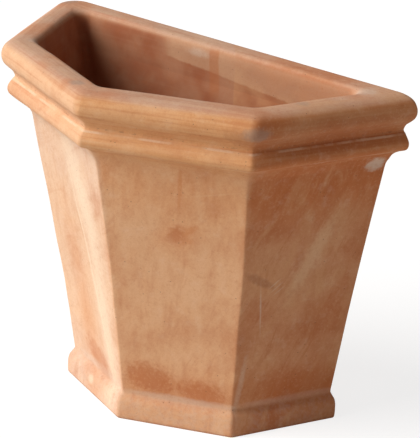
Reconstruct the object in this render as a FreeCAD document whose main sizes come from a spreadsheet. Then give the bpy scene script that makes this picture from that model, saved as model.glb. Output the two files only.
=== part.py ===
"""A terracotta wall planter: half of a tapered octagonal pot, cut across two corners so that its flat
back stands against a wall.

The frame: the ground is Z = 0 and the mirror plane is X = 0. The wall is the plane Y = half the depth,
and the planter stands on the -Y side of it, so the origin is the middle of its footprint. Every
horizontal outline is a half octagon about an upright axis in the wall plane. It is given by its
apothem, the distance from that axis to its four faces, and its corners are rounded.
The clay is built up as a potter builds it: a floor set inside five wall slabs, then a foot band, a
bead moulding under the rim and a thick rolled rim, each in mitred lengths, one to a face.
"""
import FreeCAD, Part
import math
import os

import Sketcher

# Every driving dimension, in millimetres: name, value, meaning.
SIZES = [
    ("total_height", 400, "ground to the top of the rim"),
    ("rim_height", 43.5, "height of the rolled rim, above its seat on the walls"),
    ("wall_foot_apothem", 148.5, "outer face of the walls at the ground"),
    ("wall_seat_apothem", 209.5, "outer face of the walls at the rim's seat"),
    ("wall_thickness", 18, "the four front walls, measured level"),
    ("back_thickness", 26, "the flat back wall"),
    ("floor_thickness", 22, "the floor slab"),
    ("drain_radius", 15, "the drain hole in the floor"),
    ("drain_setback", 72, "the drain hole's axis from the wall plane"),
    ("arris_radius", 4, "rounding of the upright arrises between the front walls"),
    ("inner_corner_radius", 10, "rounding of the front walls' inner corners"),
    ("back_arris_radius", 2.5, "rounding where an end face meets the wall plane"),
    ("back_scrape", 0.5, "the skin scraped off to make the back flat"),
    ("inner_back_radius", 6, "rounding of the inner corners beside the back wall"),
    ("rim_step", 1.5, "how far the rim's inner face stands back from the walls'"),
    ("rim_back_width", 29, "width of the rim along the back wall"),
    ("neck_apothem", 220, "the rim's narrowest outline, at its seat"),
    ("roll_apothem", 236, "the rim's widest outline"),
    ("roll_rise", 25.5, "the widest outline's height above the seat"),
    ("crown_apothem", 217, "outer edge of the rim's level top"),
    ("neck_corner_radius", 3, "corner rounding at the neck"),
    ("roll_corner_radius", 17, "corner rounding at the roll"),
    ("roll_back_radius", 3, "corner rounding of the roll beside the wall plane"),
    ("mouth_edge_radius", 6, "rounding of the rim's inner top edge"),
    ("mouth_corner_radius", 15, "corner rounding of the mouth"),
    ("mouth_back_radius", 12, "corner rounding of the mouth beside its back edge"),
    ("back_edge_radius", 3, "rounding of the rim's top edge along the wall plane"),
    ("bead_ledge_apothem", 221.5, "the bead's top edge, under the neck"),
    ("bead_apothem", 228.5, "the bead's widest outline"),
    ("bead_crown_drop", 13, "the widest outline's depth below the seat"),
    ("bead_nose_drop", 8.5, "from the widest outline down to the bead's underside"),
    ("bead_nose_width", 9, "how far the bead's rounded nose turns in"),
    ("cove_drop", 15, "height of the hollow cove under the bead"),
    ("cove_lip", 1, "thickness of the cove's lower edge on the wall"),
    ("bead_corner_radius", 6, "corner rounding of the bead"),
    ("foot_height", 27, "height of the foot band"),
    ("foot_apothem", 161, "the foot band's widest outline"),
    ("foot_rise", 13, "the widest outline's height above the ground"),
    ("foot_edge_height", 3, "rounding of the foot's bottom edge"),
    ("foot_edge_width", 1.5, "how far that rounding turns in"),
    ("foot_lip", 1, "thickness of the foot band's upper edge on the wall"),
    ("foot_corner_radius", 7, "corner rounding of the foot band"),
]

SIDES = 8
HALF_SIDE = 180 / SIDES  # degrees between a face's middle and its corner
SIDE_TURN = 2 * HALF_SIDE
FACE_ANGLES = [180 + HALF_SIDE + i * SIDE_TURN for i in range(SIDES // 2)]
FACE_NAMES = ["left_end", "left_front", "right_front", "right_end"]
COS = f"cos({HALF_SIDE} deg)"
SIN = f"sin({HALF_SIDE} deg)"

SEAT = "(Sizes.total_height - Sizes.rim_height)"
WALL_SLOPE = f"((Sizes.wall_seat_apothem - Sizes.wall_foot_apothem) / {SEAT})"
DEPTH = f"(Sizes.roll_apothem / {COS} - Sizes.roll_corner_radius * (1 / {COS} - 1))"
WALL_Y = f"({DEPTH} / 2)"

doc = FreeCAD.newDocument("wall_planter")
sheet = doc.addObject("Spreadsheet::Sheet", "Sizes")
for row, (alias, size, meaning) in enumerate(SIZES, start=1):
    sheet.set(f"A{row}", meaning)
    sheet.set(f"B{row}", str(size))
    sheet.setAlias(f"B{row}", alias)
doc.recompute()


def number(expression):
    """The value now of an expression in the sheet's cells."""
    found = sheet.evalExpression(expression)
    return float(getattr(found, "Value", found))


def wall_face(level):
    """Expression for the apothem of the walls' outer face at a level."""
    return f"(Sizes.wall_foot_apothem + {WALL_SLOPE} * ({level}))"


def cell(name):
    return f"Sizes.{name}"


def place(item, level="0"):
    """Sets an object's origin on the octagons' axis at that level."""
    item.setExpression(".Placement.Base.y", WALL_Y)
    item.setExpression(".Placement.Base.z", level)


def between(start, end, share):
    """Expression for the value that lies a share of the way from one to the other."""
    return f"({start} + {share:.6f} * ({end} - {start}))"


# ---------------------------------------------------------------- outlines and masses


def outline_geometry(apothem, corner, back_corner, back_inset):
    """Lines and arcs of a rounded half octagon, counterclockwise from the left end face: four faces,
    the back line, then the arcs at the left back corner, the three front corners and the right
    back corner."""
    normals = [math.radians(a) for a in FACE_ANGLES] + [math.radians(90)]
    offsets = [apothem] * len(FACE_ANGLES) + [-back_inset]

    def meet(i, j, inward_i, inward_j):
        """The point that lies inward of lines i and j by those distances."""
        (ci, si), (cj, sj) = [(math.cos(normals[k]), math.sin(normals[k])) for k in (i, j)]
        di, dj = offsets[i] - inward_i, offsets[j] - inward_j
        turn = ci * sj - si * cj
        return FreeCAD.Vector((di * sj - dj * si) / turn, (dj * ci - di * cj) / turn, 0)

    back = len(FACE_ANGLES)
    corners = [(back, 0, back_corner)]
    corners += [(i, i + 1, corner) for i in range(back - 1)]
    corners += [(back - 1, back, back_corner)]
    centres = [meet(i, j, radius, radius) for i, j, radius in corners]

    def foot(centre, line, radius):
        """Where the arc about that centre touches the line."""
        return centre + radius * FreeCAD.Vector(math.cos(normals[line]), math.sin(normals[line]), 0)

    lines = []
    for i in range(back):
        start, end = corners[i], corners[i + 1]
        lines.append(Part.LineSegment(foot(centres[i], i, start[2]), foot(centres[i + 1], i, end[2])))
    lines.append(
        Part.LineSegment(foot(centres[-1], back, corners[-1][2]), foot(centres[0], back, corners[0][2]))
    )
    arcs = []
    for centre, (i, j, radius) in zip(centres, corners):
        start, end = normals[i], normals[j]
        if end < start:
            end += 2 * math.pi
        arcs.append(Part.ArcOfCircle(Part.Circle(centre, FreeCAD.Vector(0, 0, 1), radius), start, end))
    return lines, arcs


def outline(name, level, apothem, corner, back_corner, back_inset="-Sizes.back_scrape"):
    """A sketch of one rounded half octagon, level with the ground. Every argument after the name is
    an expression in the sheet's cells."""
    sketch = doc.addObject("Sketcher::SketchObject", name)
    sizes = [number(e) for e in (apothem, corner, back_corner, back_inset)]
    lines, arcs = outline_geometry(*sizes)
    sketch.addGeometry(lines + arcs, False)
    n = len(lines)
    start, end = 1, 2
    for i in range(n):  # arc i joins the end of line i - 1 to the start of line i
        sketch.addConstraint(Sketcher.Constraint("Tangent", (i - 1) % n, end, n + i, start))
        sketch.addConstraint(Sketcher.Constraint("Tangent", n + i, end, i, start))
    for i, angle in enumerate(FACE_ANGLES):
        sketch.addConstraint(Sketcher.Constraint("Angle", i, math.radians(angle + 90 - 360)))
        added = sketch.addConstraint(Sketcher.Constraint("Distance", -1, 1, i, sizes[0]))
        sketch.setExpression(f"Constraints[{added}]", apothem)
    back = n - 1
    sketch.addConstraint(Sketcher.Constraint("Horizontal", back))
    added = sketch.addConstraint(Sketcher.Constraint("DistanceY", back, start, -1, 1, sizes[3]))
    sketch.setExpression(f"Constraints[{added}]", back_inset)
    for i in range(n):
        size, expression = (sizes[2], back_corner) if i in (0, back) else (sizes[1], corner)
        added = sketch.addConstraint(Sketcher.Constraint("Radius", n + i, size))
        sketch.setExpression(f"Constraints[{added}]", expression)
    place(sketch, level)
    return sketch


def mass(name, sections, ruled):
    """A solid through horizontal outlines, from the lowest to the highest."""
    loft = doc.addObject("Part::Loft", name)
    loft.Sections = [outline(f"{name}_outline_{i}", *section) for i, section in enumerate(sections)]
    loft.Solid = True
    loft.Ruled = ruled
    return loft


def cut(name, base, tool):
    made = doc.addObject("Part::Cut", name)
    made.Base, made.Tool = base, tool
    return made


def common(name, base, tool):
    made = doc.addObject("Part::Common", name)
    made.Base, made.Tool = base, tool
    return made


def wall_mass(name, inset, *corners_and_back):
    """A mass whose faces stay parallel to the walls' outer face, that far inside it."""
    sections = [(level, f"{wall_face(level)} - {inset}", *corners_and_back) for level in ("0", SEAT)]
    return mass(name, sections, ruled=True)


# ---------------------------------------------------------------- the tools that divide the rings


def triangle_sketch(name, half_angle):
    """A triangle from the octagons' axis, that many degrees to each side of its middle line. It
    reaches past the roll."""
    sketch = doc.addObject("Sketcher::SketchObject", name)
    reach = "2 * Sizes.roll_apothem"
    far = number(reach)
    half = far * math.tan(math.radians(half_angle))
    points = [FreeCAD.Vector(0, 0, 0), FreeCAD.Vector(far, -half, 0), FreeCAD.Vector(far, half, 0)]
    for i, point in enumerate(points):
        sketch.addGeometry(Part.LineSegment(point, points[(i + 1) % 3]), False)
    for i in range(3):
        sketch.addConstraint(Sketcher.Constraint("Coincident", i, 2, (i + 1) % 3, 1))
    sketch.addConstraint(Sketcher.Constraint("Coincident", 0, 1, -1, 1))
    sketch.addConstraint(Sketcher.Constraint("Symmetric", 0, 2, 1, 2, -1))
    sketch.addConstraint(Sketcher.Constraint("Angle", -1, 1, 2, 2, math.radians(half_angle)))
    added = sketch.addConstraint(Sketcher.Constraint("DistanceX", 0, 1, 0, 2, far))
    sketch.setExpression(f"Constraints[{added}]", reach)
    return sketch


def sector(name, outline_sketch, facing):
    """The upright wedge of space that stands on a triangle turned to face that way."""
    tool = doc.addObject("Part::Extrusion", f"sector_{name}")
    tool.Base = outline_sketch
    tool.DirMode = "Normal"
    tool.Solid = True
    tool.setExpression("LengthFwd", "Sizes.total_height + 1")
    turn = FreeCAD.Rotation(FreeCAD.Vector(0, 0, 1), facing)
    tool.Placement = FreeCAD.Placement(FreeCAD.Vector(0, 0, 0), turn)
    place(tool)
    return tool


# The end walls' mitre with the back wall runs from their outer arris to their inner corner. Both lie
# on lines of the walls' own slope, so the mitre keeps this angle to the wall plane at every level.
MITRE_RUN = f"((Sizes.wall_thickness + Sizes.back_thickness * {SIN}) / {COS})"
MITRE_ANGLE = f"atan(Sizes.back_thickness / {MITRE_RUN})"


def back_trapezium(name, level):
    """The back wall's share of one level. Its slant sides are the two mitres: they leave the end
    walls' outer arrises at the wall plane and run on, both out past that plane and in past the rim."""
    sketch = doc.addObject("Sketcher::SketchObject", name)
    reach = "(2 * Sizes.rim_back_width)"
    half = f"({wall_face(level)} / {COS})"
    y, x = number(reach), number(half)
    angle = math.radians(number(MITRE_ANGLE))
    outer, inner = x + y / math.tan(angle), x - y / math.tan(angle)
    points = [FreeCAD.Vector(*p, 0) for p in ((outer, y), (-outer, y), (-inner, -y), (inner, -y))]
    for i, point in enumerate(points):
        sketch.addGeometry(Part.LineSegment(point, points[(i + 1) % 4]), False)
    arris = sketch.addGeometry(Part.Point(FreeCAD.Vector(x, 0, 0)), True)
    for i in range(4):
        sketch.addConstraint(Sketcher.Constraint("Coincident", i, 2, (i + 1) % 4, 1))
    sketch.addConstraint(Sketcher.Constraint("Symmetric", 0, 1, 0, 2, -2))
    sketch.addConstraint(Sketcher.Constraint("Symmetric", 2, 1, 2, 2, -2))
    sketch.addConstraint(Sketcher.Constraint("PointOnObject", arris, 1, -1))
    sketch.addConstraint(Sketcher.Constraint("PointOnObject", arris, 1, 3))
    for size, expression, ends in (
        (x, half, ("DistanceX", -1, 1, arris, 1)),
        (y, reach, ("DistanceY", -1, 1, 0, 1)),
        (y, reach, ("DistanceY", 3, 1, -1, 1)),
    ):
        added = sketch.addConstraint(Sketcher.Constraint(*ends, size))
        sketch.setExpression(f"Constraints[{added}]", expression)
    added = sketch.addConstraint(Sketcher.Constraint("Angle", 0, 1, 3, 2, angle))
    sketch.setExpression(f"Constraints[{added}]", MITRE_ANGLE)
    place(sketch, level)
    return sketch


# The end sectors reach past the wall plane, so that only mitres divide the rings.
face_sketch = triangle_sketch("face_outline", HALF_SIDE)
end_sketch = triangle_sketch("end_outline", SIDE_TURN)
sectors = []
for face_name, face_angle in zip(FACE_NAMES, FACE_ANGLES):
    if face_name.endswith("end"):
        toward_wall = HALF_SIDE if face_angle > 270 else -HALF_SIDE
        sectors.append(sector(face_name, end_sketch, face_angle + toward_wall))
    else:
        sectors.append(sector(face_name, face_sketch, face_angle))
back_share = doc.addObject("Part::Loft", "back_share")
back_share.Sections = [
    back_trapezium("back_share_low", "0"),
    back_trapezium("back_share_high", "Sizes.total_height + 1"),
]
back_share.Solid = True
back_share.Ruled = True

# What is scraped off the back.
scrapings = doc.addObject("Part::Box", "scrapings")
scrapings.setExpression("Length", "4 * Sizes.roll_apothem")
scrapings.setExpression("Width", "Sizes.rim_back_width")
scrapings.setExpression("Height", "Sizes.total_height + 2")
scrapings.setExpression(".Placement.Base.x", "-2 * Sizes.roll_apothem")
place(scrapings, "-1")

parts = {}


def lengths(kind, rough_ring, with_back):
    """Scrapes the back of a ring flat and divides it into one mitred length for each face, and one
    along the back where it runs on there."""
    ring = cut(f"{kind}_scraped", rough_ring, scrapings)
    front = ring
    if with_back:
        parts[f"{kind}_back"] = common(f"{kind}_back", ring, back_share)
        front = cut(f"{kind}_front", ring, back_share)
    for name, tool in zip(FACE_NAMES, sectors):
        parts[f"{kind}_{name}"] = common(f"{kind}_{name}", front, tool)


# ---------------------------------------------------------------- walls and floor


def build_walls_and_floor():
    """The tapered shell of five slabs, and the floor set inside them with its drain hole."""
    outer = wall_mass("wall_outer", "0", cell("arris_radius"), cell("back_arris_radius"))
    inner = wall_mass(
        "wall_inner",
        cell("wall_thickness"),
        cell("inner_corner_radius"),
        cell("inner_back_radius"),
        cell("back_thickness"),
    )
    lengths("wall", cut("wall_ring", outer, inner), with_back=True)

    block = doc.addObject("Part::Box", "floor_block")
    block.setExpression("Length", "4 * Sizes.wall_foot_apothem")
    block.setExpression("Width", "2 * Sizes.wall_foot_apothem")
    block.setExpression("Height", cell("floor_thickness"))
    block.setExpression(".Placement.Base.x", "-2 * Sizes.wall_foot_apothem")
    block.setExpression(".Placement.Base.y", f"{WALL_Y} - 2 * Sizes.wall_foot_apothem")
    drain = doc.addObject("Part::Cylinder", "drain_tool")
    drain.setExpression("Radius", cell("drain_radius"))
    drain.setExpression("Height", cell("floor_thickness"))
    drain.setExpression(".Placement.Base.y", f"{WALL_Y} - Sizes.drain_setback")
    parts["floor_slab"] = cut("floor_slab", common("floor_blank", inner, block), drain)
    return outer


# ---------------------------------------------------------------- foot band, bead and rim


def build_foot(wall_outer):
    """A soft band around the bottom of the front walls, widest a third of the way up."""
    corner, back_corner = cell("foot_corner_radius"), cell("back_arris_radius")
    widest = cell("foot_apothem")
    lip = f"({wall_face(cell('foot_height'))} + Sizes.foot_lip)"
    sections = []
    for degrees in (0, 30, 60, 90):  # the rounded bottom edge
        turn = math.radians(degrees)
        level = f"Sizes.foot_edge_height * {1 - math.cos(turn):.6f}"
        apothem = f"{widest} - Sizes.foot_edge_width * {1 - math.sin(turn):.6f}"
        sections.append((level, apothem, corner, back_corner))
    for degrees in (0, 18, 36, 54, 72, 90):  # the upper face, curving in to the wall
        turn = math.radians(degrees)
        level = f"Sizes.foot_rise + (Sizes.foot_height - Sizes.foot_rise) * {math.sin(turn):.6f}"
        apothem = between(lip, widest, math.cos(turn))
        sections.append((level, apothem, corner, back_corner))
    ring = cut("foot_ring", mass("foot_outer", sections, ruled=True), wall_outer)
    lengths("foot", ring, with_back=False)


def build_bead(wall_outer):
    """The small moulding under the rim: a rounded bead over a hollow cove that dies into the wall."""
    corner, back_corner = cell("bead_corner_radius"), cell("back_arris_radius")
    crown = f"({SEAT} - Sizes.bead_crown_drop)"
    underside = f"({crown} - Sizes.bead_nose_drop)"
    bottom = f"({underside} - Sizes.cove_drop)"
    nose = "(Sizes.bead_apothem - Sizes.bead_nose_width)"
    lip = f"({wall_face(bottom)} + Sizes.cove_lip)"
    cove = []
    for degrees in (90, 75, 60, 45, 30, 15):  # from the wall up and out towards the nose
        turn = math.radians(degrees)
        level = between(bottom, underside, math.cos(turn))
        cove.append((level, between(nose, lip, math.sin(turn)), corner, back_corner))
    bead = []
    for degrees in (90, 72, 54, 36, 18, 0):  # the nose, from the underside to the widest outline
        turn = math.radians(degrees)
        level = between(crown, underside, math.sin(turn))
        bead.append((level, between(nose, cell("bead_apothem"), math.cos(turn)), corner, back_corner))
    for degrees in (18, 36, 54, 72, 90):  # the crown, up to the ledge under the neck
        turn = math.radians(degrees)
        level = between(crown, SEAT, math.sin(turn))
        apothem = between(cell("bead_ledge_apothem"), cell("bead_apothem"), math.cos(turn))
        bead.append((level, apothem, corner, back_corner))
    moulding = mass("moulding", cove + bead, ruled=True)
    lengths("bead", cut("bead_ring", moulding, wall_outer), with_back=False)


def back_edge_tool():
    """The waste beyond the rounded top edge of the rim along the wall plane, as a long prism."""
    sketch = doc.addObject("Sketcher::SketchObject", "back_edge_outline")
    radius = number(cell("back_edge_radius"))
    clear = "2 * Sizes.back_edge_radius"
    far = number(clear)
    corner_points = [(-radius, 0), (-radius, far), (far, far), (far, -radius), (0, -radius)]
    points = [FreeCAD.Vector(*p, 0) for p in corner_points]
    for start, end in zip(points, points[1:]):
        sketch.addGeometry(Part.LineSegment(start, end), False)
    centre = Part.Circle(FreeCAD.Vector(-radius, -radius, 0), FreeCAD.Vector(0, 0, 1), radius)
    sketch.addGeometry(Part.ArcOfCircle(centre, 0, math.pi / 2), False)
    for i in range(3):
        sketch.addConstraint(Sketcher.Constraint("Coincident", i, 2, i + 1, 1))
    sketch.addConstraint(Sketcher.Constraint("Coincident", 3, 2, 4, 1))
    sketch.addConstraint(Sketcher.Constraint("Coincident", 4, 2, 0, 1))
    for i, kind in enumerate(("Vertical", "Horizontal", "Vertical", "Horizontal")):
        sketch.addConstraint(Sketcher.Constraint(kind, i))
    sketch.addConstraint(Sketcher.Constraint("Horizontal", 4, 3, 4, 1))
    sketch.addConstraint(Sketcher.Constraint("Vertical", 4, 3, 4, 2))
    sketch.addConstraint(Sketcher.Constraint("PointOnObject", 3, 2, -2))
    for size, expression, given in (
        (radius, cell("back_edge_radius"), ("DistanceX", 4, 3, -1, 1)),
        (radius, cell("back_edge_radius"), ("DistanceY", 4, 3, -1, 1)),
        (far, clear, ("DistanceX", -1, 1, 1, 2)),
        (far, clear, ("DistanceY", -1, 1, 1, 2)),
    ):
        added = sketch.addConstraint(Sketcher.Constraint(*given, size))
        sketch.setExpression(f"Constraints[{added}]", expression)
    tool = doc.addObject("Part::Extrusion", "back_edge_waste")
    tool.Base = sketch
    tool.DirMode = "Normal"
    tool.Symmetric = True
    tool.Solid = True
    tool.setExpression("LengthFwd", "4 * Sizes.roll_apothem")
    outward, up, along = FreeCAD.Vector(0, 1, 0), FreeCAD.Vector(0, 0, 1), FreeCAD.Vector(1, 0, 0)
    upright = FreeCAD.Rotation(outward, up, along, "ZXY")
    sketch.Placement = FreeCAD.Placement(FreeCAD.Vector(0, 0, 0), upright)
    place(sketch, cell("total_height"))
    return tool


def build_rim():
    """The rolled rim: a neck, a full roll with a nearly level top, and a rounded mouth."""
    neck, roll, crown = cell("neck_apothem"), cell("roll_apothem"), cell("crown_apothem")
    widest = f"({SEAT} + Sizes.roll_rise)"
    outer = []
    for share in (0, 0.25, 0.5, 0.75):  # the underside swells out of the neck in an S
        swell = share * share * (3 - 2 * share)
        outer.append(
            (
                between(SEAT, widest, share),
                between(neck, roll, swell),
                between(cell("neck_corner_radius"), cell("roll_corner_radius"), swell),
                between(cell("back_arris_radius"), cell("roll_back_radius"), swell),
            )
        )
    fullness = 0.8  # below 1 the shoulder of the roll is squarer than an ellipse
    for degrees in (0, 25, 45, 65, 90):
        turn = math.radians(degrees)
        out, up = max(math.cos(turn), 0) ** fullness, math.sin(turn) ** fullness
        outer.append(
            (
                between(widest, cell("total_height"), up),
                between(crown, roll, out),
                cell("roll_corner_radius"),
                cell("roll_back_radius"),
            )
        )

    def mouth(level, wider):
        """One outline of the mouth, wider by that much than the slope of the walls makes it."""
        face = f"{wall_face(level)} - Sizes.wall_thickness + Sizes.rim_step + {wider}"
        back = f"Sizes.rim_back_width - {wider}"
        corner, back_corner = cell("mouth_corner_radius"), cell("mouth_back_radius")
        return (level, face, corner, back_corner, back)

    edge = "(Sizes.total_height - Sizes.mouth_edge_radius)"
    throat = [mouth(level, "0") for level in (SEAT, edge)]
    flare = []
    for degrees in (0, 30, 60, 90):  # the rounded edge, opening to the level top
        turn = math.radians(degrees)
        level = between(edge, cell("total_height"), math.sin(turn))
        flare.append(mouth(level, f"Sizes.mouth_edge_radius * {1 - math.cos(turn):.6f}"))
    opening = doc.addObject("Part::MultiFuse", "rim_opening")
    opening.Shapes = [mass("throat", throat, ruled=True), mass("flare", flare, ruled=False)]
    ring = cut("rim_ring", mass("rim_outer", outer, ruled=False), opening)
    lengths("rim", cut("rim_eased", ring, back_edge_tool()), with_back=True)


wall_outer = build_walls_and_floor()
build_foot(wall_outer)
build_bead(wall_outer)
build_rim()
doc.recompute()

# ---------------------------------------------------------------- checks and files

for item in doc.Objects:
    if "Invalid" in item.State or "Error" in item.State:
        raise RuntimeError(f"{item.Name} failed: {item.State}")

os.makedirs("parts", exist_ok=True)
for label, item in parts.items():
    shape = item.Shape
    if shape.isNull() or not shape.isValid() or not shape.Solids:
        raise RuntimeError(f"{label} has no valid solid")
    item.Label = label
    shape.exportStep(f"parts/{label}.step")
    print(f"{label}: {len(shape.Solids)} solid, {shape.Volume / 1000:.1f} cm3")
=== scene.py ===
"""The looks of a terracotta wall planter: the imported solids' shapes again as soft, hand-finished clay.

The row frame has the ground at z = 0 and the wall at y = WALL_Y, with the planter on the -y side of
it. Every level outline is a half octagon about an upright axis in the wall plane. Shapes, marks and
spots are written in millimetres, as a potter's template would be. The rest is in metres.
"""
import math

import bpy
import numpy as np
from mathutils import Matrix, Vector, noise


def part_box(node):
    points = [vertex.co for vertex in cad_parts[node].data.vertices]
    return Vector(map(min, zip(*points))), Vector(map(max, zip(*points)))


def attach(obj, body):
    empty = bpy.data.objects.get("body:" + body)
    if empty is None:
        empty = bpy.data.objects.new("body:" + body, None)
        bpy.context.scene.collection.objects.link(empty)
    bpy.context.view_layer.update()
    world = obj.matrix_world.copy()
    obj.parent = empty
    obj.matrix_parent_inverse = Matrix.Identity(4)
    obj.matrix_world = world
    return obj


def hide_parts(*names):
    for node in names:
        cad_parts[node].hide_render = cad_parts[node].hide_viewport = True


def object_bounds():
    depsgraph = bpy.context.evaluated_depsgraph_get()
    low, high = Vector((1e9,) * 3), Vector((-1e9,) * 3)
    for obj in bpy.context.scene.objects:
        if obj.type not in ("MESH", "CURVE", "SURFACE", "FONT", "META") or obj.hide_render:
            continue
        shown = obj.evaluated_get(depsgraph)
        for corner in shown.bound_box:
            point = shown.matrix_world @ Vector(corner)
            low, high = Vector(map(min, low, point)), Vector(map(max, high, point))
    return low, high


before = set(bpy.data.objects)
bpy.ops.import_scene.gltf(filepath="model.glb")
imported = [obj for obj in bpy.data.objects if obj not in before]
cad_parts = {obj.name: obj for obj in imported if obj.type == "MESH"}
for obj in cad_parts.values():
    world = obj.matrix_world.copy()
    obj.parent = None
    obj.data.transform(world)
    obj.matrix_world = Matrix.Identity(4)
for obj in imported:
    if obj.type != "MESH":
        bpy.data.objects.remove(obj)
cad_low, cad_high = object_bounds()

MM = 0.001
FACE_ANGLES = [202.5, 247.5, 292.5, 337.5]  # the outward directions of the four front faces
BACK_ANGLE = 90.0
LEFT_FRONT, RIGHT_FRONT, RIGHT_END = 1, 2, 3  # places in FACE_ANGLES
MIDDLE_ARRIS, RIGHT_ARRIS = -90.0, -45.0  # where those faces meet, as directions from the axis

WALL_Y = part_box("wall_back")[1].y
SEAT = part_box("wall_back")[1].z / MM  # the level where the rim sits on the walls, in mm
FLOOR_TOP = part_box("floor_slab")[1].z / MM
WALL_FOOT = 148.5  # apothem of the walls' outer face at the ground, in mm
WALL_SEAT = 209.5  # and at the rim's seat
WALL_SLOPE = (WALL_SEAT - WALL_FOOT) / SEAT  # how much it grows per unit of height
WALL_HOLLOW = 1.7  # how far the walls sink between foot and rim
WALL_THICKNESS = 18.0
BACK_THICKNESS = 26.0
INNER_CORNER, INNER_BACK_CORNER = 10, 6  # radii inside the pot
RIM_APOTHEM = 236.0  # of the roll at its fullest
DRAIN_RADIUS, DRAIN_LIP = 15.0, 2.5  # the hole in the floor, and its worn edge
DRAIN_FROM_WALL = 72.0


def wall_face(level):
    """Apothem of the walls' outer face at a level, in mm, if they were flat."""
    return WALL_FOOT + WALL_SLOPE * level


def sunk_face(level):
    """Apothem of the walls' outer face, which is slightly hollow from foot to rim."""
    return wall_face(level) - WALL_HOLLOW * np.sin(np.pi * np.clip(level / SEAT, 0, 1)) ** 2


# ---------------------------------------------------------------- profiles
# A profile point is (apothem, level, corner radius, back corner radius, inset from the wall plane).

RIM_OUTSIDE = [  # from the crease up over the roll, across the top and down the mouth
    (221.6, SEAT, 3, 2.5, 0),
    (220.6, 358.4, 3, 2.5, 0),
    (221.3, 361.2, 3.5, 2.5, 0),
    (224.0, 365.4, 6, 3, 0),
    (228.8, 369.6, 9, 3, 0),
    (233.8, 375.0, 14, 3, 0),
    (235.9, 381.6, 16, 3, 0),
    (235.4, 388.4, 17, 4, 0),
    (232.2, 394.2, 18, 5, 0.3),
    (226.0, 398.0, 18, 6, 1.8),
    (218.6, 399.6, 18, 7, 5),
    (209.6, 399.8, 20, 9, 15),
    (204.6, 399.3, 22, 12, 23.4),
    (201.4, 397.4, 23, 13, 26.8),
    (199.0, 393.2, 23, 13, 28.6),
    (197.6, 388.0, 22, 12, 29.0),
    (195.2, 376.0, 17, 9, 28.0),
    (wall_face(SEAT) - WALL_THICKNESS, SEAT, INNER_CORNER, INNER_BACK_CORNER, BACK_THICKNESS),
]
BEAD_OUTSIDE = [  # from the crease down over the ledge, the bead and the cove
    (221.6, SEAT - 0.02, 3, 2.5, 0),
    (222.8, SEAT - 1.0, 3, 2.5, 0),
    (223.7, SEAT - 2.6, 3.5, 2.5, 0),
    (226.0, 351.0, 5, 3, 0),
    (228.2, 346.6, 6, 3, 0),
    (228.4, 342.2, 7, 3, 0),
    (226.5, 338.2, 7, 3, 0),
    (222.4, 335.9, 5, 3, 0),
    (219.2, 335.2, 4, 3, 0),
    (217.8, 333.9, 4, 3, 0),
    (213.6, 331.4, 4, 3, 0),
    (209.4, 327.6, 4, 3, 0),
    (206.4, 322.6, 4, 3, 0),
    (sunk_face(317.0) + 0.5, 317.0, 4, 3, 0),
    (sunk_face(311.0), 311.0, 4, 3, 0),
]
FOOT_OUTSIDE = [  # from the wall down over the band to the ground
    (sunk_face(33), 33.0, 4, 3, 0),
    (sunk_face(29.2) + 0.5, 29.2, 4, 3, 0),
    (156.0, 26.2, 5, 3, 0),
    (159.2, 22.6, 6, 3, 0),
    (160.7, 17.4, 7, 3, 0),
    (161.0, 11.0, 7, 3, 0),
    (160.9, 5.0, 7, 3, 0),
    (160.4, 1.4, 7, 3, 0),
    (159.4, 0.0, 7, 3, 0),
]


def smooth_through(points, spacing):
    """Points at about that spacing (mm) on a curve through the profile's points: a Catmull-Rom
    spline with centripetal steps, so that it doesn't overshoot where the points crowd."""
    knots = np.array(points, float)
    knots = np.vstack([2 * knots[0] - knots[1], knots, 2 * knots[-1] - knots[-2]])
    steps = np.sqrt(np.hypot(*np.diff(knots[:, :2], axis=0).T))
    times = np.concatenate([[0], np.cumsum(steps)])
    made = []
    for i in range(1, len(knots) - 2):
        chord = np.hypot(*(knots[i + 1, :2] - knots[i, :2]))
        count = max(1, round(chord / spacing))
        for t in np.linspace(times[i], times[i + 1], count, endpoint=False):
            a = [
                knots[j] + (knots[j + 1] - knots[j]) * (t - times[j]) / (times[j + 1] - times[j])
                for j in (i - 1, i, i + 1)
            ]
            b = [
                a[j] + (a[j + 1] - a[j]) * (t - times[i - 1 + j]) / (times[i + 1 + j] - times[i - 1 + j])
                for j in (0, 1)
            ]
            made.append(b[0] + (b[1] - b[0]) * (t - times[i]) / (times[i + 1] - times[i]))
    made.append(knots[-2])
    return np.array(made)


def straight(start, end, spacing):
    """Profile points at about that spacing on the line between two."""
    count = max(1, round(math.hypot(end[0] - start[0], end[1] - start[1]) / spacing))
    return np.linspace(start, end, count + 1)


def wall_profile(levels, thickness=0.0, corner=4.0, back_corner=3.0, inset=0.0):
    """Profile points at those levels on the walls' outer face, or that thickness inside it."""
    return np.array([(sunk_face(z) - thickness, z, corner, back_corner, inset) for z in levels])


def inner_profile(levels):
    """Profile points at those levels on the walls' inner face."""
    return wall_profile(levels, WALL_THICKNESS, INNER_CORNER, INNER_BACK_CORNER, BACK_THICKNESS)


# ---------------------------------------------------------------- outlines

LINE_SAMPLES = 72  # along a front face
BACK_SAMPLES = 110
CORNER_SAMPLES = 16
BACK_CORNER_SAMPLES = 24
LEFT_SOFTENING = 12.0  # how much rounder the rim's left back corner is than its right one
SOFTENING_RISE = 14.0  # that comes in over this height above the seat
SOFTENING_DEPTH = 20.0  # and is gone this far in from the wall plane


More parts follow.
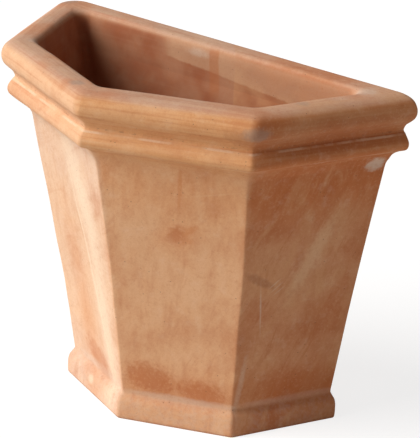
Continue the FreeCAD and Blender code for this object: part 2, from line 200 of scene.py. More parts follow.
def outline(profile):
    """For each profile point, its outline's points in the row frame, as an array of rows by columns
    by 3, and the number of columns on the front. The columns run from the back line's left end,
    round the front, to its right end, and the rest lie along the back line."""
    a, level, corner, back_corner, inset = (profile[:, i] for i in range(5))
    angles = np.radians([BACK_ANGLE] + FACE_ANGLES + [BACK_ANGLE + 360])
    normals = np.stack([np.cos(angles), np.sin(angles)], 1)
    on_rim = np.clip((level - SEAT) / SOFTENING_RISE, 0, 1) * np.clip(1 - inset / SOFTENING_DEPTH, 0, 1)
    radii = [back_corner + LEFT_SOFTENING * on_rim, corner, corner, corner, back_corner]
    offsets = [-inset, a, a, a, a, -inset]

    def centre(i, radius):
        """Centre of the arc between line i and line i + 1."""
        n, m = normals[i], normals[i + 1]
        turn = n[0] * m[1] - n[1] * m[0]
        p, q = offsets[i] - radius, offsets[i + 1] - radius
        return np.stack([(p * m[1] - q * n[1]) / turn, (q * n[0] - p * m[0]) / turn], 1)

    centres = [centre(i, radii[i]) for i in range(5)]
    columns = []
    for i in range(5):
        samples = BACK_CORNER_SAMPLES if i in (0, 4) else CORNER_SAMPLES
        for angle in np.linspace(angles[i], angles[i + 1], samples):
            direction = np.array([math.cos(angle), math.sin(angle)])
            columns.append(centres[i] + radii[i][:, None] * direction)
        if i < 4:
            start = centres[i] + radii[i][:, None] * normals[i + 1]
            end = centres[i + 1] + radii[i + 1][:, None] * normals[i + 1]
            for share in np.linspace(0, 1, LINE_SAMPLES + 1)[1:-1]:
                columns.append(start + share * (end - start))
    front_columns = len(columns)
    for share in np.linspace(0, 1, BACK_SAMPLES + 1)[1:-1]:
        columns.append(columns[front_columns - 1] * (1 - share) + columns[0] * share)
    flat = np.stack(columns, 1) * MM
    heights = np.repeat(level[:, None], flat.shape[1], 1) * MM
    made = np.dstack([flat[..., 0], flat[..., 1] + WALL_Y, heights])
    return made, front_columns


# ---------------------------------------------------------------- the hand of the potter

WARPS = [  # wave length, how far the clay leans that way, both in metres
    (0.150, 0.0015),
    (0.060, 0.0011),
    (0.026, 0.00032),
]
LEVEL_SHARE = 0.35  # how much of it moves the clay up or down
STILL_DEPTH = 0.014  # the clay keeps still at the ground and the wall, and moves fully this far off
WARP_PLACE = Vector((3, 7, 1))  # which part of the endless noise is used


def warp(points):
    """The unevenness of clay that was pressed and smoothed by hand. It is one field through space,
    so that pieces which meet still meet."""
    moved = points.copy()
    for i, p in enumerate(points):
        still = min(1.0, p[2] / STILL_DEPTH) * min(1.0, max(0.0, WALL_Y - p[1]) / STILL_DEPTH)
        for length, amount in WARPS:
            lean = np.array(noise.noise_vector(Vector(p) / length + WARP_PLACE))
            moved[i] += still * amount * lean * (1, 1, LEVEL_SHARE)
    return np.clip(moved, np.array(cad_low), np.array(cad_high))


def make_mesh(name, points, faces, sharp_degrees=48):
    """A smooth-shaded object of warped clay, with crisp edges only where it turns sharply."""
    mesh = bpy.data.meshes.new(name)
    mesh.from_pydata(warp(points).tolist(), [], faces)
    mesh.validate()
    piece = bpy.data.objects.new(name, mesh)
    bpy.context.scene.collection.objects.link(piece)
    mesh.shade_smooth()
    mesh.set_sharp_from_angle(angle=math.radians(sharp_degrees))
    return piece


def grid_faces(rows, columns, closed_round=True):
    """Four-sided faces between the points of a grid whose last row meets its first."""
    faces = []
    for r in range(rows):
        here, below = r * columns, (r + 1) % rows * columns
        for c in range(columns if closed_round else columns - 1):
            beside = (c + 1) % columns
            faces.append((here + c, here + beside, below + beside, below + c))
    return faces


def band(name, profile, closed_round):
    """A clay piece with that closed profile, carried round the outline. It closes on itself along
    the back, or ends at the wall with a flat face at each end."""
    points, front_columns = outline(profile)
    if not closed_round:
        points = points[:, :front_columns]
    rows, columns = points.shape[:2]
    faces = grid_faces(rows, columns, closed_round)
    if not closed_round:
        faces.append([r * columns for r in range(rows)])
        faces.append([r * columns + columns - 1 for r in reversed(range(rows))])
    return make_mesh(name, points.reshape(-1, 3), faces)


# ---------------------------------------------------------------- the pieces

FINE, MEDIUM, WIDE = 1.1, 3.0, 5.0  # spacings of the rows
FLOOR_RINGS = 22  # from the floor's edge to the hole


def make_rim():
    outside = smooth_through(RIM_OUTSIDE, FINE)
    bottom = straight(outside[-1], outside[0], WIDE)[1:-1]
    return band("rim", np.vstack([outside, bottom]), closed_round=True)


def make_bead():
    outside = smooth_through(BEAD_OUTSIDE, FINE)
    seat = wall_profile(np.arange(BEAD_OUTSIDE[-1][1] + 1, SEAT, WIDE))
    return band("bead_moulding", np.vstack([outside, seat]), closed_round=False)


def make_walls():
    outside = wall_profile(np.linspace(SEAT, 0, round(SEAT / MEDIUM)))
    inside = inner_profile(np.linspace(0, SEAT, round(SEAT / WIDE)))
    return band("walls", np.vstack([outside, inside]), closed_round=True)


def make_foot():
    outside = smooth_through(FOOT_OUTSIDE, FINE)
    seat = wall_profile(np.arange(0.5, FOOT_OUTSIDE[0][1], WIDE))
    return band("foot_band", np.vstack([outside, seat]), closed_round=False)


def floor_rings():
    """The floor slab as rings: the outline that each is drawn from, how far it is drawn in towards
    the drain hole, its height, and the hole's radius there."""
    low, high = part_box("floor_slab")
    outlines, _ = outline(inner_profile([0.0, FLOOR_TOP]))
    under, upper = outlines
    shares = np.linspace(0, 1, FLOOR_RINGS)
    radius, lip = DRAIN_RADIUS * MM, DRAIN_LIP * MM
    rings = [(under, share, 0.0, radius) for share in shares]
    rings += [(under, 1.0, level, radius) for level in (lip, 0.5 * (low.z + high.z), high.z - lip)]
    rings += [(upper, share, high.z, radius + lip) for share in shares[::-1]]
    return rings


def make_floor_slab():
    """The floor, with its drain hole."""
    hole = np.array([0, WALL_Y - DRAIN_FROM_WALL * MM])
    points = []
    for edge, share, level, radius in floor_rings():
        from_hole = edge[:, :2] - hole
        on_hole = from_hole / np.hypot(*from_hole.T)[:, None] * radius
        flat = from_hole * (1 - share) + on_hole * share + hole
        points.append(np.column_stack([flat, np.full(len(flat), level)]))
    points = np.array(points)
    faces = [(a, d, c, b) for a, b, c, d in grid_faces(*points.shape[:2])]  # turned to face outwards
    return make_mesh("floor_slab_clay", points.reshape(-1, 3), faces)


# ---------------------------------------------------------------- materials


class Graph:
    """A material's nodes. Most methods add a node and return its output socket."""

    def __init__(self, name):
        self.material = bpy.data.materials.new(name)
        self.material.use_nodes = True
        self.nodes = self.material.node_tree.nodes
        self.links = self.material.node_tree.links
        self.shader = self.nodes["Principled BSDF"]
        self.position = self.add("ShaderNodeTexCoord").outputs["Object"]

    def add(self, kind, **settings):
        node = self.nodes.new(kind)
        for key, value in settings.items():
            setattr(node, key, value)
        return node

    def feed(self, socket, value):
        if isinstance(value, bpy.types.NodeSocket):
            self.links.new(value, socket)
        else:
            socket.default_value = value

    def math(self, operation, *values):
        node = self.add("ShaderNodeMath", operation=operation)
        for socket, value in zip(node.inputs, values):
            self.feed(socket, value)
        return node.outputs[0]

    def times(self, first, *others):
        product = first
        for other in others:
            product = self.math("MULTIPLY", product, other)
        return product

    def vector(self, operation, *values):
        node = self.add("ShaderNodeVectorMath", operation=operation)
        for socket, value in zip(node.inputs, values):
            self.feed(socket, value)
        return node.outputs["Value" if operation in ("DOT_PRODUCT", "LENGTH") else "Vector"]

    def combine(self, x, y, z):
        node = self.add("ShaderNodeCombineXYZ")
        for socket, value in zip(node.inputs, (x, y, z)):
            self.feed(socket, value)
        return node.outputs[0]

    def step(self, value, low, high, to_low=0.0, to_high=1.0):
        """A smooth step from to_low, where the value is low, to to_high, where it is high."""
        node = self.add("ShaderNodeMapRange", interpolation_type="SMOOTHSTEP", clamp=True)
        self.feed(node.inputs["Value"], value)
        for key, number in (("From Min", low), ("From Max", high), ("To Min", to_low), ("To Max", to_high)):
            self.feed(node.inputs[key], number)
        return node.outputs[0]

    def noise(self, vector, size, detail=3.0, roughness=0.5, distortion=0.0, fourth=None):
        """Noise whose blotches are about that size, in metres. It varies with the fourth
        coordinate too, if there is one."""
        node = self.add("ShaderNodeTexNoise", noise_dimensions="3D" if fourth is None else "4D")
        self.feed(node.inputs["Vector"], vector)
        if fourth is not None:
            self.feed(node.inputs["W"], fourth)
        node.inputs["Scale"].default_value = 1 / size
        node.inputs["Detail"].default_value = detail
        node.inputs["Roughness"].default_value = roughness
        node.inputs["Distortion"].default_value = distortion
        return node.outputs["Fac"]

    def cells(self, vector, size):
        """Distance to the nearest of points strewn about that far apart."""
        node = self.add("ShaderNodeTexVoronoi", feature="F1")
        self.feed(node.inputs["Vector"], vector)
        node.inputs["Scale"].default_value = 1 / size
        return node.outputs["Distance"]

    def mix(self, share, first, second):
        """The first colour, with that share of the second over it."""
        node = self.add("ShaderNodeMix", data_type="RGBA")
        self.feed(node.inputs[0], share)
        for socket, value in zip((node.inputs[6], node.inputs[7]), (first, second)):
            self.feed(socket, (*value, 1.0) if isinstance(value, tuple) else value)
        return node.outputs[2]

    def bump(self, height, distance, strength, normal=None):
        node = self.add("ShaderNodeBump")
        self.feed(node.inputs["Height"], height)
        node.inputs["Distance"].default_value = distance
        node.inputs["Strength"].default_value = strength
        if normal is not None:
            self.feed(node.inputs["Normal"], normal)
        return node.outputs[0]


# Clay colours, as light reflected in red, green and blue.
CLAY = (0.690, 0.360, 0.176)
CLAY_PAINTED_LIGHT = (0.712, 0.515, 0.378)  # painted light: the left faces, paler
CLAY_SHADED = (0.545, 0.182, 0.064)  # painted shade: the right end, darker and redder
# the inside, darker and redder, partly painted shade in the hollow
CLAY_INSIDE = (0.352, 0.116, 0.053)
CLAY_TOP = (0.610, 0.325, 0.200)
GOLDEN = (0.700, 0.352, 0.138)
DUST = (0.560, 0.390, 0.305)
# a browner PALE: painted shade for the pale tones on the right end
TAN = (0.650, 0.350, 0.175)
CREAM = (0.820, 0.660, 0.490)
PALE = (0.740, 0.475, 0.285)
LIME = (0.700, 0.580, 0.470)
ORANGE = (0.600, 0.230, 0.082)
RUST = (0.470, 0.150, 0.052)
BROWN = (0.330, 0.120, 0.055)
GREY = (0.330, 0.265, 0.220)
# also the colour of the painted shade in the crease under the roll
PIT_AND_CREASE_SHADE = (0.140, 0.062, 0.035)

# Marks on each front face: place along it and level, half length, half width, tilt from level in
# degrees, colour, strength, softness of the edge, raggedness. Later marks lie over earlier ones.
FACE_MARKS = {
    RIGHT_FRONT: [
        (5, 238, 25, 16, 25, ORANGE, 0.42, 0.6, 0.8),
        (2, 240, 12, 8, 55, RUST, 0.62, 0.55, 0.7),
        (18, 247, 10, 3, 42, ORANGE, 0.45, 0.5, 0.6),
        (17, 234, 11, 2.5, 30, ORANGE, 0.35, 0.5, 0.6),
        (7.5, 298, 22, 2.2, 86, ORANGE, 0.50, 0.6, 0.4),
        (4, 45, 66, 19, 3, RUST, 0.34, 0.60, 0.6),
        (-30, 54, 26, 17, -15, RUST, 0.62, 0.42, 0.8),
        (29, 44, 27, 13, -5, RUST, 0.58, 0.42, 0.8),
        (6, 32, 62, 4, 0, LIME, 0.40, 0.60, 0.8),
        (43, 295, 30, 0.9, 14, PALE, 0.30, 0.7, 0.5),
    ],
    LEFT_FRONT: [
        (26, 250, 74, 18, -72, CREAM, 0.74, 0.70, 0.5),
        (38, 110, 90, 15, 94, CREAM, 0.80, 0.70, 0.5),
        (-14, 110, 95, 18, 97, ORANGE, 0.38, 0.80, 0.6),
        (22, 150, 110, 2.2, 100, CREAM, 0.75, 0.60, 0.4),
        (6, 36, 44, 5, 0, LIME, 0.50, 0.60, 0.9),
        (-4.5, 17, 6, 5, 0, CREAM, 0.55, 0.5, 0.4),
        (8, 46, 30, 13, -30, RUST, 0.42, 0.5, 0.6),
    ],
    RIGHT_END: [
        (10, 33, 66, 4, 0, LIME, 0.34, 0.60, 0.9),
        # painted shade: a brown band over the roll on the right end
        (0, 373, 125, 14, 0, BROWN, 0.40, 0.50, 0.3),
        (-58, 60, 34, 3, 86, LIME, 0.34, 0.60, 0.8),
        (-52, 192, 19, 5, -31, BROWN, 0.42, 0.4, 0.4),
        (-33, 186, 8, 0.8, 40, LIME, 0.36, 0.5, 0.2),
        (-30, 181, 8, 0.8, 40, LIME, 0.32, 0.5, 0.2),
        (-27, 176, 7, 0.8, 40, LIME, 0.28, 0.5, 0.2),
        (8, 212, 46, 9, 66, PALE, 0.60, 0.70, 0.8),
        (-46, 155, 27, 0.9, -82, LIME, 0.45, 0.6, 0.3),
        (67, 318, 11, 8, 0, LIME, 0.70, 0.4, 0.7),
        (12, 48, 62, 20, -4, RUST, 0.55, 0.6, 0.5),
    ],
}
# Spots anywhere: place in the row frame, half lengths, colour, strength.
SPOTS = [
    ((-235, 112, 399), (14, 14, 8), GREY, 0.50),
    ((-22, -101, 399), (9, 6, 6), GREY, 0.50),
    ((0, -92, 398), (8, 5, 6), GREY, 0.45),
    ((-104, -47, 397), (9, 5, 6), LIME, 0.45),
    ((-153, -27, 397), (8, 8, 6), LIME, 0.35),
    ((205, 98, 397), (13, 12, 9), LIME, 0.42),
    ((182, 18, 400), (9, 7, 5), GREY, 0.35),
    ((180, -52, 380), (15, 15, 8), GREY, 0.50),
    ((-24, 101, 388), (16, 7, 5), LIME, 0.35),
]


# Ranges over which one part of the pot passes into another, in metres. The first two are heights,
# the next two are distances outside the walls' outer face, and the last two are places in y, from
# the wall plane.
MOULDINGS = (0.318, 0.334)
TOP = (0.3930, 0.3985)
WALL_INSIDE = (-0.0135, -0.0105)
ON_FACE = (-0.0045, -0.0015)
BACK_INSIDE = (-0.0200, -0.0230)
BACK_OUTSIDE = (-0.0040, -0.0010)
MOUTH_EDGE = 0.3925  # the height where the inside begins to give way to the rim's top
TINT_BEFORE, TINT_AFTER = 1.0, 2.5  # degrees over which the painted light and shade change at an arris


def outward(face):
    """The direction that a front face looks in, if it were upright."""
    angle = math.radians(FACE_ANGLES[face])
    return math.cos(angle), math.sin(angle), 0.0


def measure(g):
    """Places on the pot that the clay's looks depend on, as sockets of the graph."""
    split = g.add("ShaderNodeSeparateXYZ")
    g.feed(split.inputs[0], g.position)
    g.across, g.height = split.outputs["X"], split.outputs["Z"]
    g.behind = g.math("SUBTRACT", split.outputs["Y"], WALL_Y)
    g.from_axis = g.vector("SUBTRACT", g.position, (0.0, WALL_Y, 0.0))
    g.wall = g.math("MULTIPLY_ADD", g.height, WALL_SLOPE, WALL_FOOT * MM)
    g.outs = [g.vector("DOT_PRODUCT", g.from_axis, outward(face)) for face in range(len(FACE_ANGLES))]
    out = g.outs[0]
    for other in g.outs[1:]:
        out = g.math("MAXIMUM", out, other)
    hollow = g.step(g.math("SUBTRACT", out, g.wall), *WALL_INSIDE, 1.0, 0.0)
    below_top = g.step(g.height, MOUTH_EDGE, TOP[1], 1.0, 0.0)
    g.inside = g.times(hollow, g.step(g.behind, *BACK_INSIDE), below_top)
    g.outside = g.math("SUBTRACT", 1.0, g.inside)
    g.top = g.step(g.height, *TOP)
    g.mouldings = g.step(g.height, *MOULDINGS)
    g.off_wall = g.step(g.behind, *BACK_OUTSIDE, 1.0, 0.0)
    from_edge = g.math("SUBTRACT", RIM_APOTHEM * MM, out)
    g.inset = g.math("MINIMUM", from_edge, g.times(g.behind, -1.0))  # how far in from the rim's edge
    g.along = g.times(g.math("ADD", g.across, g.behind), 0.75)  # about how far along any visible face


def strew(g):
    """Noises that several features share, from broad to fine."""
    g.cloud = g.noise(g.position, 0.075, 4.0, 0.50)
    g.mottle = g.noise(g.position, 0.014, 4.0, 0.60)
    g.ragged = g.noise(g.position, 0.006, 4.0, 0.62)
    g.speckle = g.noise(g.position, 0.0034, 3.0, 0.65)
    g.grain = g.noise(g.position, 0.0016, 3.0, 0.65)


def find_sides(g):
    """Which faces get the painted light to the left and the painted shade to the right, and how uneven the
    clay is there.
    """
    turn = g.times(g.math("ARCTAN2", g.behind, g.across), 180 / math.pi)
    turn = g.math("MULTIPLY_ADD", g.ragged, 1.5, turn)
    left = g.step(turn, MIDDLE_ARRIS - TINT_BEFORE, MIDDLE_ARRIS + TINT_AFTER, 1.0, 0.0)
    right = g.step(turn, RIGHT_ARRIS - TINT_BEFORE, RIGHT_ARRIS + TINT_AFTER)
    g.left, g.right = g.times(left, g.off_wall), g.times(right, g.off_wall)
    g.uneven = g.math("MULTIPLY_ADD", g.right, 0.75, 0.65)  # the right end is the most uneven
    # on the right end the pale tones are browner: painted shade
    g.paler = g.mix(g.right, PALE, TAN)


def broad_tones(g):
    """Paler on the left faces and darker, redder on the right end: painted light and painted shade.
    Redder under the rim, dusty at the foot and on top, and darker inside, partly as painted shade."""
    # painted light on the left faces, painted shade on the right end
    colour = g.mix(g.left, CLAY, CLAY_PAINTED_LIGHT)
    colour = g.mix(g.right, colour, CLAY_SHADED)
    colour = g.mix(g.times(g.mouldings, 0.50), colour, GOLDEN)
    # painted shade: the right end's mouldings and rim darker and redder still
    colour = g.mix(g.times(g.step(g.height, 0.285, 0.330, 0.0, 0.72), g.right), colour, RUST)
    faded = g.times(g.step(g.height, 0.300, 0.220), g.step(g.height, 0.040, 0.090))
    colour = g.mix(g.times(faded, 0.42), colour, PALE)
    colour = g.mix(g.top, colour, CLAY_TOP)
    colour = g.mix(g.times(g.top, g.step(g.cloud, 0.42, 0.62, 0.0, 0.60)), colour, DUST)
    at_foot = g.step(g.height, 0.024, 0.040, 0.44, 0.0)
    colour = g.mix(g.times(at_foot, g.step(g.ragged, 0.40, 0.60, 0.35, 1.0)), colour, DUST)
    # darker inside, partly painted shade in the hollow
    return g.mix(g.inside, colour, CLAY_INSIDE)


def shaded(g, colour, field, light, dark, shown):
    """Paler where the field is high and redder where it is low. Light and dark each hold the range
    of the field and the strength at its end."""
    paler = g.times(g.step(field, light[0], light[1], 0.0, light[2]), shown)
    redder = g.times(g.step(field, dark[0], dark[1], dark[2], 0.0), shown)
    return g.mix(redder, g.mix(paler, colour, g.paler), RUST)


def speckled(g, colour, field, red, pale, pale_colour):
    """Redder where the field is high and, outside the pot, paler where it is low. Red and pale each
    hold the range of the field and the strength at its end."""
    colour = g.mix(g.step(field, red[0], red[1], 0.0, red[2]), colour, RUST)
    shown = g.times(g.step(field, pale[0], pale[1], pale[2], 0.0), g.outside)
    return g.mix(shown, colour, pale_colour)


def brushing(g):
    """Broad slanting strokes of a brush or a sponge."""
    lean, width, length = 0.40, 0.020, 0.080
    slant = g.math("DIVIDE", g.math("MULTIPLY_ADD", g.height, -lean, g.along), width)
    rise = g.math("DIVIDE", g.math("MULTIPLY_ADD", g.along, lean, g.height), length)
    return g.noise(g.combine(slant, 0.0, rise), 1.0, 5.0, 0.66, 0.9)


def brushing_shows(g):
    """How strongly the brushing shows: fully on the outer walls, little elsewhere."""
    on_walls = g.times(g.math("SUBTRACT", 1.0, g.mouldings), g.outside)
    return g.times(g.math("MULTIPLY_ADD", on_walls, 0.85, 0.15), g.uneven)


def wiping(g):
    """Fine lines left by a wet hand: along the rim and bead, and upright on the walls."""
    long, thin = 0.110, 0.0040
    x, y = g.math("DIVIDE", g.across, long), g.math("DIVIDE", g.behind, long)
    inwards = g.math("DIVIDE", g.times(g.inset, g.top), thin)
    upwards = g.math("DIVIDE", g.height, thin)
    drawn_round = g.noise(g.combine(x, inwards, upwards), 1.0, 3.0, 0.55, fourth=y)
    stretched = g.vector("DIVIDE", g.position, (0.013, 0.013, 0.110))
    upright = g.noise(stretched, 1.0, 4.0, 0.55, 0.6)
    mixed = g.add("ShaderNodeMix", data_type="FLOAT")
    g.feed(mixed.inputs[0], g.mouldings)
    g.feed(mixed.inputs[2], upright)
    g.feed(mixed.inputs[3], drawn_round)
    return mixed.outputs[0]


def wiping_shows(g):
    """How strongly the wiping shows: most on the mouldings, little inside and on the flat back."""
    strength = g.step(g.height, *MOULDINGS, 0.20, 0.34)
    in_or_out = g.math("MULTIPLY_ADD", g.outside, 0.85, 0.15)
    return g.times(strength, in_or_out, g.math("MULTIPLY_ADD", g.off_wall, 0.70, 0.30))


def inner_back_light_and_strip(g, colour):
    """Painted light above a slanting shadow edge on the inner back wall, and the dark strip across it."""
    line_slope, line_height = -0.0753, 0.3687
    strip_x, strip_core, strip_edge = -0.0022, 0.0050, 0.0085
    line = g.math("MULTIPLY_ADD", g.across, line_slope, line_height)
    above = g.math("MULTIPLY_ADD", g.ragged, 0.004, g.math("SUBTRACT", g.height, line))
    # painted light above the slanting line, towards the right
    painted_lit_zone = g.times(g.step(above, 0.0005, 0.0035), g.step(g.across, -0.080, -0.060))
    colour = g.mix(g.times(painted_lit_zone, g.inside, 0.40), colour, PALE)
    from_strip = g.math("ABSOLUTE", g.math("SUBTRACT", g.across, strip_x))
    strip = g.times(g.step(from_strip, strip_core, strip_edge, 0.50, 0.0), g.step(g.height, 0.335, 0.352))
    return g.mix(g.times(strip, g.inside), colour, RUST)


def face_mark(g, face, along, level, length, width, tilt, strength, soft, ragged):
    """How strongly a mark on one front face shows: nothing away from it and on other faces."""
    x, y, _ = outward(face)
    turn = math.radians(tilt)
    ds = g.math("SUBTRACT", g.vector("DOT_PRODUCT", g.from_axis, (-y, x, 0.0)), along * MM)
    dz = g.math("SUBTRACT", g.height, level * MM)
    u = g.math("MULTIPLY_ADD", ds, math.cos(turn), g.times(dz, math.sin(turn)))
    v = g.math("MULTIPLY_ADD", dz, math.cos(turn), g.times(ds, -math.sin(turn)))
    u, v = g.math("DIVIDE", u, length * MM), g.math("DIVIDE", v, width * MM)
    reach = g.vector("LENGTH", g.combine(u, v, 0.0))
    frayed = g.math("MULTIPLY_ADD", g.ragged, 2 * ragged, g.math("SUBTRACT", reach, ragged))
    shown = g.step(frayed, 1 - soft, 1 + soft, strength, 0.0)
    return g.times(shown, g.step(g.math("SUBTRACT", g.outs[face], g.wall), *ON_FACE))


def spot(g, centre, sizes, strength):
    """How strongly a ragged spot shows."""
    offset = g.vector("SUBTRACT", g.position, tuple(c * MM for c in centre))
    reach = g.vector("LENGTH", g.vector("DIVIDE", offset, tuple(c * MM for c in sizes)))
    return g.step(g.math("MULTIPLY_ADD", g.ragged, 1.1, reach), 1.0, 2.0, strength, 0.0)


def marked(g, colour):
    """The colour with all the marks over it, and the spots over those."""
    for face, marks in FACE_MARKS.items():
        for along, level, length, width, tilt, tone, strength, soft, ragged in marks:
            shown = face_mark(g, face, along, level, length, width, tilt, strength, soft, ragged)
            colour = g.mix(shown, colour, tone)
    for centre, sizes, tone, strength in SPOTS:
        colour = g.mix(spot(g, centre, sizes, strength), colour, tone)
    return colour


def level_line(g, level, half_width, strength):
    """How strongly a thin line round the pot shows."""
    away = g.math("ABSOLUTE", g.math("SUBTRACT", g.height, level * MM))
    return g.step(away, half_width * MM * 0.4, half_width * MM, strength, 0.0)


def painted_edge_light_and_shade(g, colour):
    """Painted highlights on the bead's edges, painted shade in the crease over it and at the ground."""
    # painted highlights along the bead's ledge and lower edge, broken up by noise
    bead_highlights = [(SEAT - 1.4, 1.5, 0.42), (334.6, 1.5, 0.36)]  # level, half width, strength
    patchy = g.times(g.step(g.noise(g.position, 0.024, 3.0), 0.36, 0.60), g.outside)
    for level, half_width, strength in bead_highlights:
        colour = g.mix(g.times(level_line(g, level, half_width, strength), patchy), colour, CREAM)
    # painted shade in the crease under the roll, broken into dots
    crease = g.times(level_line(g, SEAT + 2.4, 1.3, 0.34), g.step(g.ragged, 0.52, 0.64))
    colour = g.mix(g.times(crease, g.outside), colour, PIT_AND_CREASE_SHADE)
    # a painted contact shadow along the ground
    above_ground = g.math("MULTIPLY_ADD", g.ragged, 0.003, g.height)
    return g.mix(g.step(above_ground, 0.0015, 0.0055, 0.55, 0.0), colour, BROWN)


def pits(g):
    """Scattered pinholes: 1 in the middle of a large one, 0 between them."""
    large = g.step(g.cells(g.position, 0.0085), 0.055, 0.095, 1.0, 0.0)
    strewn = g.step(g.noise(g.position, 0.030, 2.0), 0.50, 0.58)
    small = g.step(g.cells(g.position, 0.0040), 0.07, 0.13, 0.5, 0.0)
    crowded = g.step(g.noise(g.position, 0.045, 2.0), 0.54, 0.62)
    return g.math("MAXIMUM", g.times(large, strewn), g.times(small, crowded))


def relief(g, lines, holes):
    """The clay's fine unevenness, as a surface direction. Each layer has a depth in metres."""
    normal = g.bump(g.grain, 0.0002, 0.22)
    normal = g.bump(lines, 0.0005, 0.16, normal)
    normal = g.bump(g.speckle, 0.0005, 0.25, normal)
    normal = g.bump(g.mottle, 0.0010, 0.28, normal)
    return g.bump(g.math("SUBTRACT", 1.0, holes), 0.0006, 0.50, normal)


def clay_material(name):
    """The clay, as layers of colour from the broad tones to the finest grain."""
    g = Graph(name)
    measure(g)
    strew(g)
    find_sides(g)
    lines, holes = wiping(g), pits(g)
    colour = broad_tones(g)
    colour = shaded(g, colour, g.cloud, (0.46, 0.68, 0.40), (0.34, 0.52, 0.42), g.uneven)
    colour = shaded(g, colour, brushing(g), (0.50, 0.70, 0.34), (0.32, 0.50, 0.34), brushing_shows(g))
    colour = shaded(g, colour, lines, (0.46, 0.70, 1.0), (0.30, 0.50, 1.0), wiping_shows(g))
    colour = speckled(g, colour, g.mottle, (0.50, 0.74, 0.16), (0.28, 0.46, 0.12), CREAM)
    colour = inner_back_light_and_strip(g, colour)
    colour = marked(g, colour)
    # painted highlights and shade along the bead, the crease and the ground
    colour = painted_edge_light_and_shade(g, colour)
    colour = g.mix(g.times(holes, 0.55), colour, PIT_AND_CREASE_SHADE)
    colour = speckled(g, colour, g.speckle, (0.50, 0.74, 0.20), (0.28, 0.48, 0.20), PALE)
    colour = g.mix(g.step(g.grain, 0.40, 0.66, 0.0, 0.12), colour, RUST)
    g.feed(g.shader.inputs["Base Color"], colour)
    g.feed(g.shader.inputs["Roughness"], g.step(g.mottle, 0.30, 0.70, 0.74, 0.92))
    g.shader.inputs["Specular IOR Level"].default_value = 0.22
    g.feed(g.shader.inputs["Normal"], relief(g, lines, holes))
    return g.material


def finish_piece(piece, nodes, material):
    """Give a piece its clay, and its place over the solids that it shows."""
    piece.data.materials.append(material)
    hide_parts(*nodes)
    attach(piece, "root")


FRONT_FACES = ["left_end", "left_front", "right_front", "right_end"]
clay = clay_material("terracotta")
finish_piece(make_rim(), [f"rim_{n}" for n in FRONT_FACES + ["back"]], clay)
finish_piece(make_bead(), [f"bead_{n}" for n in FRONT_FACES], clay)
finish_piece(make_walls(), [f"wall_{n}" for n in FRONT_FACES + ["back"]], clay)
finish_piece(make_foot(), [f"foot_{n}" for n in FRONT_FACES], clay)
finish_piece(make_floor_slab(), ["floor_slab"], clay)

# ---------------------------------------------------------------- floor, light and camera

WHITE = (1.0, 1.0, 1.0, 1.0)
FLOOR_SIZE = 12
FLOOR_COLOUR = (0.8, 0.78, 0.76, 1.0)  # for the light that it throws back
FLOOR_GLOW = 0.80  # the share of its white that a shadow can't darken
FLOOR_SHADED = (0.30, 0.30, 0.30, 1.0)  # the rest, which a shadow does darken


def seen_directly(tree):
    """1 for rays from the camera, and for those that a reflection or clear material passes on."""
    path = tree.nodes.new("ShaderNodeLightPath")
    seen = path.outputs["Is Camera Ray"]
    for kind in ("Is Glossy Ray", "Is Transmission Ray"):
        either = tree.nodes.new("ShaderNodeMath")
        either.operation = "MAXIMUM"
        tree.links.new(seen, either.inputs[0])
        tree.links.new(path.outputs[kind], either.inputs[1])
        seen = either.outputs[0]
    return seen


def make_stage():
    """A plain floor that throws soft light back. To the camera it is white, with a faint shadow."""
    bpy.ops.mesh.primitive_plane_add(size=FLOOR_SIZE, location=(0, 0, 0))
    floor = bpy.context.active_object
    floor.name = "studio_floor"
    material = bpy.data.materials.new("studio_white")
    material.use_nodes = True
    tree = material.node_tree
    shader = tree.nodes["Principled BSDF"]
    shader.inputs["Base Color"].default_value = FLOOR_COLOUR
    shader.inputs["Roughness"].default_value = 0.9
    glow = tree.nodes.new("ShaderNodeEmission")
    glow.inputs["Color"].default_value = WHITE
    glow.inputs["Strength"].default_value = FLOOR_GLOW
    matte = tree.nodes.new("ShaderNodeBsdfDiffuse")
    matte.inputs["Color"].default_value = FLOOR_SHADED
    shown = tree.nodes.new("ShaderNodeAddShader")
    tree.links.new(glow.outputs[0], shown.inputs[0])
    tree.links.new(matte.outputs[0], shown.inputs[1])
    mix = tree.nodes.new("ShaderNodeMixShader")
    tree.links.new(seen_directly(tree), mix.inputs[0])
    tree.links.new(shader.outputs[0], mix.inputs[1])
    tree.links.new(shown.outputs[0], mix.inputs[2])
    tree.links.new(mix.outputs[0], tree.nodes["Material Output"].inputs["Surface"])
    floor.data.materials.append(material)


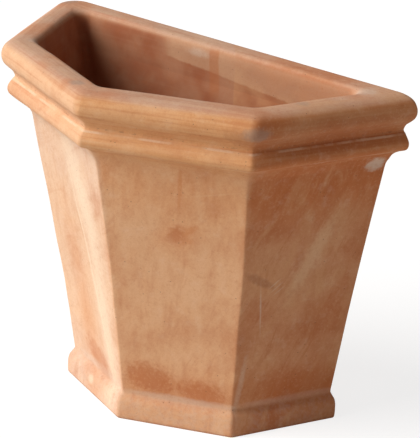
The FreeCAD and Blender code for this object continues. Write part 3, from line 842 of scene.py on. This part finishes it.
def make_world(level_light, overhead_light):
    """White to the camera and in reflections. To everything else it is soft light, stronger from
    the sides than from overhead, as in a room with large windows."""
    world = bpy.data.worlds.new("studio")
    bpy.context.scene.world = world
    world.use_nodes = True
    tree = world.node_tree
    tree.nodes.clear()
    seen = tree.nodes.new("ShaderNodeBackground")
    seen.inputs["Color"].default_value = WHITE
    direction = tree.nodes.new("ShaderNodeTexCoord")
    split = tree.nodes.new("ShaderNodeSeparateXYZ")
    tree.links.new(direction.outputs["Generated"], split.inputs[0])
    rise = tree.nodes.new("ShaderNodeMapRange")
    rise.inputs["From Min"].default_value = 0.0  # level
    rise.inputs["From Max"].default_value = 0.6  # as high as makes no difference
    tree.links.new(split.outputs["Z"], rise.inputs["Value"])
    blend = tree.nodes.new("ShaderNodeMix")
    blend.data_type = "RGBA"
    tree.links.new(rise.outputs[0], blend.inputs[0])
    blend.inputs[6].default_value = (*level_light, 1.0)
    blend.inputs[7].default_value = (*overhead_light, 1.0)
    light = tree.nodes.new("ShaderNodeBackground")
    tree.links.new(blend.outputs[2], light.inputs["Color"])
    mix = tree.nodes.new("ShaderNodeMixShader")
    output = tree.nodes.new("ShaderNodeOutputWorld")
    tree.links.new(seen_directly(tree), mix.inputs[0])
    tree.links.new(light.outputs[0], mix.inputs[1])
    tree.links.new(seen.outputs[0], mix.inputs[2])
    tree.links.new(mix.outputs[0], output.inputs["Surface"])


def make_key_light(azimuth, elevation, strength, colour, spread_degrees):
    """A broad soft light from that direction. Azimuth is measured from +x towards +y."""
    sun = bpy.data.lights.new("key", "SUN")
    sun.energy = strength
    sun.color = colour
    sun.angle = math.radians(spread_degrees)
    lamp = bpy.data.objects.new("key", sun)
    bpy.context.scene.collection.objects.link(lamp)
    a, e = math.radians(azimuth), math.radians(elevation)
    toward = Vector((math.cos(a) * math.cos(e), math.sin(a) * math.cos(e), math.sin(e)))
    lamp.rotation_mode = "QUATERNION"
    lamp.rotation_quaternion = toward.to_track_quat("Z", "Y")


def make_camera():
    """The photograph's camera. Its place comes from the picture's vanishing lines."""
    azimuth, elevation, roll = (math.radians(x) for x in (38.94, 21.41, -2.52))
    focal_px, long_side_px = 2474.0, 438.0
    distance = 2.722
    target = Vector((0.0371, WALL_Y - 0.0714, 0.2202))  # what it looks at
    back = Vector(
        (
            math.sin(azimuth) * math.cos(elevation),
            -math.cos(azimuth) * math.cos(elevation),
            math.sin(elevation),
        )
    )
    right = Vector((math.cos(azimuth), math.sin(azimuth), 0))
    up = back.cross(right)
    x_axis = math.cos(roll) * right - math.sin(roll) * up
    y_axis = math.sin(roll) * right + math.cos(roll) * up
    lens = bpy.data.cameras.new("camera")
    lens.sensor_width = 36.0
    lens.lens = focal_px / long_side_px * lens.sensor_width
    camera = bpy.data.objects.new("camera", lens)
    bpy.context.scene.collection.objects.link(camera)
    place = target + distance * back
    camera.matrix_world = Matrix(
        (
            (x_axis.x, y_axis.x, back.x, place.x),
            (x_axis.y, y_axis.y, back.y, place.y),
            (x_axis.z, y_axis.z, back.z, place.z),
            (0, 0, 0, 1),
        )
    )
    bpy.context.scene.camera = camera


make_stage()
make_world(level_light=(0.42, 0.37, 0.34), overhead_light=(0.085, 0.070, 0.062))
make_key_light(azimuth=229, elevation=34, strength=3.75, colour=(1.0, 0.98, 0.96), spread_degrees=48)
make_camera()
bpy.context.scene.view_settings.view_transform = "Standard"
